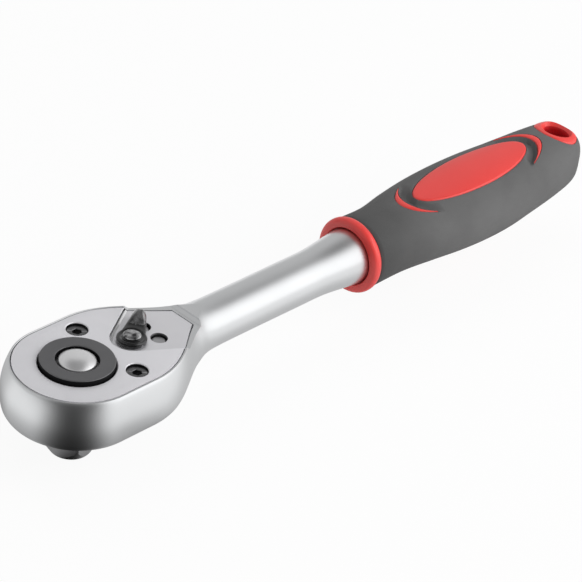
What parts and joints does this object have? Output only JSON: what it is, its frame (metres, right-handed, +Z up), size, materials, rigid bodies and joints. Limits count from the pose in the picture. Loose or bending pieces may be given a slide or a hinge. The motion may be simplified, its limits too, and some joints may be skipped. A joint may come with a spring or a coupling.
{
  "type": "socket ratchet",
  "caption": "Reversible socket ratchet with a pear-shaped forged head, square drive, quick-release button, reversing lever and a moulded soft grip with a hanging eyelet.",
  "frame": {"origin": "middle of the drive square's end face, on the drive axis", "axes": "+X along the handle from the head to the grip, +Z up the drive axis from the square to the release button"},
  "size_m": [0.2425, 0.0424, 0.0344],
  "materials": {
    "satin_chrome": "satin chrome plate",
    "cover_steel": "fine blasted steel",
    "tool_steel": "ground tool steel",
    "black_steel": "black oxide",
    "grey_ring": "dark grey phosphate, matt",
    "spring_steel": "bright spring wire",
    "seal_rubber": "black rubber",
    "red_plastic": "satin red moulding",
    "grey_rubber": "matt dark grey soft moulding"
  },
  "bodies": {
    "handle": {"forged_body": "satin_chrome", "cover_plate": "cover_steel", "cover_screw_far": "black_steel", "cover_screw_near": "black_steel", "locating_pin_far": "tool_steel", "locating_pin_near": "tool_steel", "pawl_pin": "tool_steel", "grip_core": "red_plastic", "grip_sleeve": "grey_rubber"},
    "drive": {"drive_gear": "tool_steel", "thumb_ring": "grey_ring", "thrust_washer": "tool_steel", "journal_seal": "seal_rubber", "button_spring": "spring_steel"},
    "button": {"release_button": "satin_chrome"},
    "ball": {"detent_ball": "spring_steel"},
    "lever": {"reversing_lever": "black_steel", "lever_shaft": "black_steel", "pawl_plunger": "tool_steel", "plunger_spring": "spring_steel"},
    "pawl_body": {"pawl": "tool_steel"}
  },
  "joints": [
    {"name": "drive_spin", "type": "hinge", "parent": "handle", "child": "drive", "pos_m": [0, 0, 0.022], "axis": [0, 0, 1], "continuous": true},
    {"name": "button_press", "type": "slide", "parent": "drive", "child": "button", "axis": [0, 0, -1], "range_m": [0, 0.003], "stiffness_N_per_m": 1500, "springref_m": -0.002, "deforming": ["button_spring"]},
    {"name": "ball_sink", "type": "slide", "parent": "drive", "child": "ball", "axis": [-0.9659, -0.2588, 0], "range_m": [0, 0.001]},
    {"name": "lever_flip", "type": "hinge", "parent": "handle", "child": "lever", "pos_m": [0.02102, 0, 0.022], "axis": [0, 0, 1], "range_deg": [-70, 0]},
    {"name": "pawl_rock", "type": "hinge", "parent": "handle", "child": "pawl_body", "pos_m": [0.01598, 0, 0.022], "axis": [0, 0, 1], "range_deg": [0, 14]}
  ],
  "couplings": [
    {"joint": "ball_sink", "follows": "button_press", "ratio": 0.333},
    {"joint": "pawl_rock", "follows": "lever_flip", "ratio": -0.2}
  ]
}
